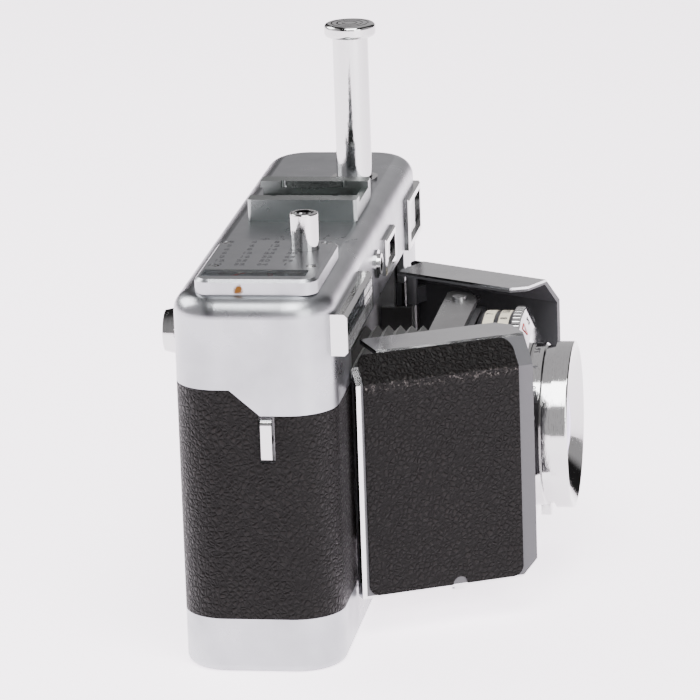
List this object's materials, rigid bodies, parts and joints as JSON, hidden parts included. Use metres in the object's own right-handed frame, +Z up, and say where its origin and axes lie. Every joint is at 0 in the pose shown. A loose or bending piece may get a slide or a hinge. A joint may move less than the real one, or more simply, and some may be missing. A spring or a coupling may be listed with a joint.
{
  "type": "folding camera with light meter",
  "caption": "Folding 35 mm rangefinder camera with barn-door front, pop-up advance plunger, accessory shoe and built-in selenium exposure meter, shown open.",
  "frame": {"origin": "centre of the tripod socket mouth, in the middle of the base underside", "axes": "+Z up; +X along the width, the meter and release end is at -X and the advance plunger at +X; the lens looks towards -Y"},
  "size_m": [0.1334, 0.0782, 0.1111],
  "materials": {
    "satin_chrome": "satin blasted chrome plate",
    "shoe_metal": "satin plate, slightly greener than the housing",
    "bright_chrome": "polished chrome plate",
    "door_metal": "polished outside and on the rims, dark grey lacquer inside",
    "leather": "coarse pebble grain",
    "bellows_cloth": "matt black pleated cloth",
    "black_enamel": "semi-gloss black",
    "cast_alloy": "cast, matt",
    "steel": "machined",
    "glass": "clear",
    "mirror_glass": "silvered",
    "selenium": "dark semi-gloss coating",
    "scale_card": "cream card",
    "needle_red": "thin red lacquer"
  },
  "bodies": {
    "chassis": {"accessory_shoe": "shoe_metal", "bellows": "bellows_cloth", "chassis_frame": "cast_alloy", "eyepiece": "bright_chrome", "eyepiece_lens": "glass", "film_gate": "steel", "finder_mirrors": "mirror_glass", "finder_tube": "black_enamel", "galvanometer": "black_enamel", "hinge_brackets": "steel", "hinge_pins": "bright_chrome", "meter_honeycomb_glass": "glass", "meter_plate": "satin_chrome", "meter_plate_screws": "bright_chrome", "meter_scale_card": "scale_card", "meter_window_frame": "bright_chrome", "meter_window_glass": "glass", "plunger_guide": "bright_chrome", "rangefinder_frame": "bright_chrome", "rangefinder_glass": "glass", "release_spring": "steel", "selenium_cell": "selenium", "shoe_screws": "bright_chrome", "shoe_spring": "bright_chrome", "strap_lugs": "bright_chrome", "sync_socket": "bright_chrome", "top_housing": "satin_chrome", "viewfinder_frame": "bright_chrome", "viewfinder_glass": "glass"},
    "back_cover": {"back_shell": "black_enamel", "body_leather": "leather", "base_tray": "satin_chrome", "tripod_bush": "bright_chrome", "counter_dial": "black_enamel", "pressure_plate": "black_enamel"},
    "rewind": {"rewind_knob": "bright_chrome", "rewind_shaft": "steel"},
    "lock_key": {"lock_key": "bright_chrome"},
    "plunger": {"plunger_rod": "bright_chrome", "plunger_cap": "bright_chrome"},
    "spool": {"takeup_spool": "steel"},
    "sprocket": {"sprocket_shaft": "steel"},
    "release": {"release_button": "bright_chrome"},
    "needle": {"meter_needle": "needle_red"},
    "focus_wheel": {"focus_wheel": "bright_chrome"},
    "door_near": {"door_shell_near": "door_metal", "door_leather_near": "leather"},
    "door_far": {"door_shell_far": "door_metal", "door_leather_far": "leather"},
    "standard": {"lens_board": "black_enamel", "standard_bridge": "steel"},
    "link_near": {"door_link_near": "steel"},
    "link_far": {"door_link_far": "steel"},
    "lens": {"shutter_housing": "black_enamel", "lens_barrel": "black_enamel", "front_rim": "bright_chrome", "lens_elements": "glass", "iris_leaves": "black_enamel"},
    "speed": {"speed_ring": "bright_chrome"},
    "aperture": {"aperture_ring": "bright_chrome"}
  },
  "joints": [
    {"name": "back_cover_drop", "type": "slide", "parent": "chassis", "child": "back_cover", "axis": [0, 0, -1], "range_m": [0, 0.08]},
    {"name": "rewind_turn", "type": "hinge", "parent": "back_cover", "child": "rewind", "pos_m": [-0.0495, 0.001, 0.0015], "axis": [0, 0, -1], "continuous": true},
    {"name": "lock_turn", "type": "hinge", "parent": "back_cover", "child": "lock_key", "pos_m": [0.0495, 0.001, 0.0015], "axis": [0, 0, -1], "range_deg": [0, 90]},
    {"name": "plunger_slide", "type": "slide", "parent": "chassis", "child": "plunger", "axis": [0, 0, -1], "range_m": [0, 0.0265], "stiffness_N_per_m": 40, "springref_m": -0.01},
    {"name": "spool_turn", "type": "hinge", "parent": "chassis", "child": "spool", "pos_m": [0.0496, 0.0026, 0.034], "axis": [0, 0, 1], "range_deg": [-2, 375]},
    {"name": "sprocket_turn", "type": "hinge", "parent": "chassis", "child": "sprocket", "pos_m": [0.0316, 0.0066, 0.034], "axis": [0, 0, 1], "range_deg": [-2, 365]},
    {"name": "release_press", "type": "slide", "parent": "chassis", "child": "release", "axis": [0, 0, -1], "range_m": [0, 0.0025], "stiffness_N_per_m": 800, "springref_m": -0.002, "deforming": ["release_spring"]},
    {"name": "needle_swing", "type": "hinge", "parent": "chassis", "child": "needle", "pos_m": [-0.042, -0.0009, 0.077], "axis": [0, 0, 1], "range_deg": [0, 66], "stiffness_Nm_per_rad": 0.000002},
    {"name": "focus_wheel_turn", "type": "hinge", "parent": "chassis", "child": "focus_wheel", "pos_m": [-0.04, 0.0162, 0.0639], "axis": [0, 1, 0], "range_deg": [-2, 275]},
    {"name": "standard_fold", "type": "slide", "parent": "chassis", "child": "standard", "axis": [0, 1, 0], "range_m": [0, 0.0375], "deforming": ["bellows"]},
    {"name": "door_near_swing", "type": "hinge", "parent": "chassis", "child": "door_near", "pos_m": [-0.0383, -0.0179, 0.033], "axis": [0, 0, 1], "range_deg": [0, 21]},
    {"name": "door_far_swing", "type": "hinge", "parent": "chassis", "child": "door_far", "pos_m": [0.0383, -0.0179, 0.033], "axis": [0, 0, -1], "range_deg": [0, 21]},
    {"name": "link_near_swing", "type": "hinge", "parent": "standard", "child": "link_near", "pos_m": [-0.0148, -0.0313, 0.054], "axis": [0, 0, 1], "range_deg": [0, 46]},
    {"name": "link_far_swing", "type": "hinge", "parent": "standard", "child": "link_far", "pos_m": [0.0148, -0.0313, 0.054], "axis": [0, 0, -1], "range_deg": [0, 46]},
    {"name": "focus_slide", "type": "slide", "parent": "standard", "child": "lens", "axis": [0, -1, 0], "range_m": [0, 0.0026]},
    {"name": "speed_turn", "type": "hinge", "parent": "lens", "child": "speed", "pos_m": [0, -0.046, 0.0333], "axis": [0, 1, 0], "range_deg": [-110, 110]},
    {"name": "aperture_turn", "type": "hinge", "parent": "lens", "child": "aperture", "pos_m": [0, -0.05, 0.0333], "axis": [0, 1, 0], "range_deg": [-35, 35]}
  ],
  "couplings": [
    {"joint": "spool_turn", "follows": "plunger_slide", "rad_per_m": 243.69},
    {"joint": "sprocket_turn", "follows": "plunger_slide", "rad_per_m": 237.1},
    {"joint": "door_near_swing", "follows": "standard_fold", "rad_per_m": 9.3084},
    {"joint": "door_far_swing", "follows": "standard_fold", "rad_per_m": 9.3084},
    {"joint": "link_near_swing", "follows": "standard_fold", "rad_per_m": 20.479},
    {"joint": "link_far_swing", "follows": "standard_fold", "rad_per_m": 20.479},
    {"joint": "focus_wheel_turn", "follows": "focus_slide", "rad_per_m": 1812.5}
  ]
}
